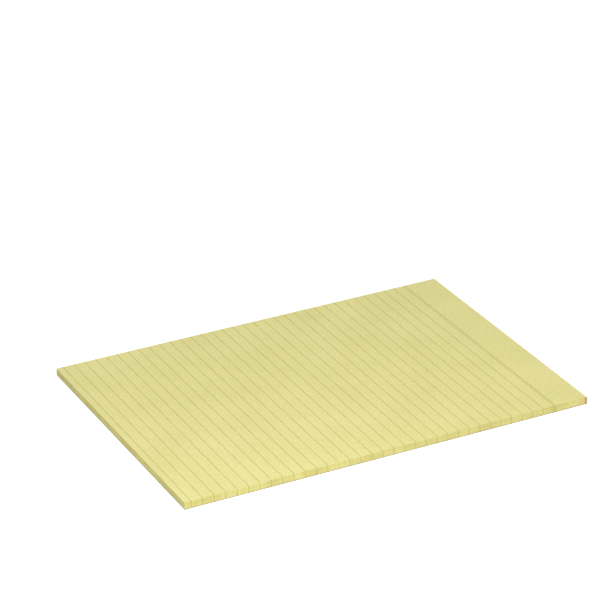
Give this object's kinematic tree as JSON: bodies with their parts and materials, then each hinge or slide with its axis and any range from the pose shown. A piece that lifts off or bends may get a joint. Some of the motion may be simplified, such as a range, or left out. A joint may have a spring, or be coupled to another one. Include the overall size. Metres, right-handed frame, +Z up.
{
  "type": "legal pad",
  "caption": "Yellow ruled writing pad on a chipboard back: its leaves are gummed along the head edge, and a header line parts the blank head margin from the ruled page.",
  "frame": {"origin": "centre of the underside, on the surface that the pad lies on", "axes": "+Z up out of the top leaf, +Y along the page towards the gummed head, +X across the page to the reader's right"},
  "size_m": [0.21, 0.2974, 0.0053],
  "materials": {
    "yellow_paper": "matte",
    "chipboard": "matte",
    "padding_gum": "satin",
    "rule_ink": "matte"
  },
  "bodies": {
    "root": {"sheets": "yellow_paper", "backing_board": "chipboard", "gum_edge": "padding_gum", "ruled_lines": "rule_ink", "header_rule": "rule_ink"}
  },
  "joints": []
}
